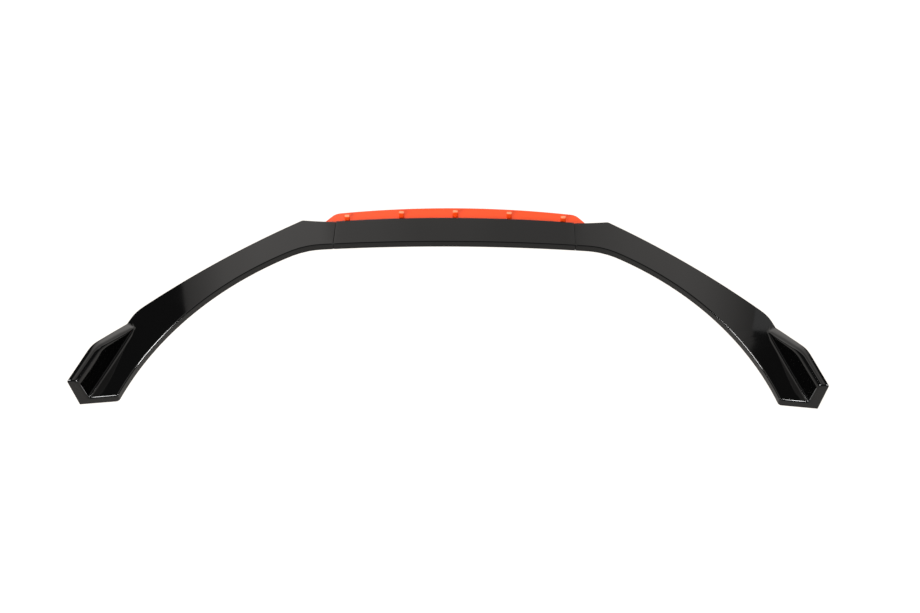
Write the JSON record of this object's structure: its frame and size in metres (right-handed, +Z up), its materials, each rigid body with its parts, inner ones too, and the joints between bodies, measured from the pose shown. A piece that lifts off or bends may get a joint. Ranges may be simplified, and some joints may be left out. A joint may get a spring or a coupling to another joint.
{
  "type": "front splitter lip",
  "caption": "Low splitter lip for a car's front bumper: gloss black centre and swept side sections with upright winglets at the ends, and a thin accent blade under the front edge.",
  "frame": {"origin": "middle of the lip's box, on the ground under its rim", "axes": "+X to the car's right, +Y to the car's front, +Z up"},
  "size_m": [1.6708, 0.67, 0.078],
  "materials": {
    "gloss_black": "moulded, high gloss",
    "accent_red": "moulded in colour, gloss",
    "zinc_steel": "zinc plated"
  },
  "bodies": {
    "root": {"centre_section": "gloss_black", "left_section": "gloss_black", "right_section": "gloss_black", "accent_blade": "accent_red", "seam_screw_1": "zinc_steel", "seam_screw_2": "zinc_steel", "seam_screw_3": "zinc_steel", "seam_screw_4": "zinc_steel", "seam_washer_1": "zinc_steel", "seam_washer_2": "zinc_steel", "seam_washer_3": "zinc_steel", "seam_washer_4": "zinc_steel", "blade_screw_1": "zinc_steel", "blade_screw_2": "zinc_steel", "blade_screw_3": "zinc_steel", "blade_screw_4": "zinc_steel", "blade_screw_5": "zinc_steel", "blade_washer_1": "zinc_steel", "blade_washer_2": "zinc_steel", "blade_washer_3": "zinc_steel", "blade_washer_4": "zinc_steel", "blade_washer_5": "zinc_steel"}
  },
  "joints": []
}
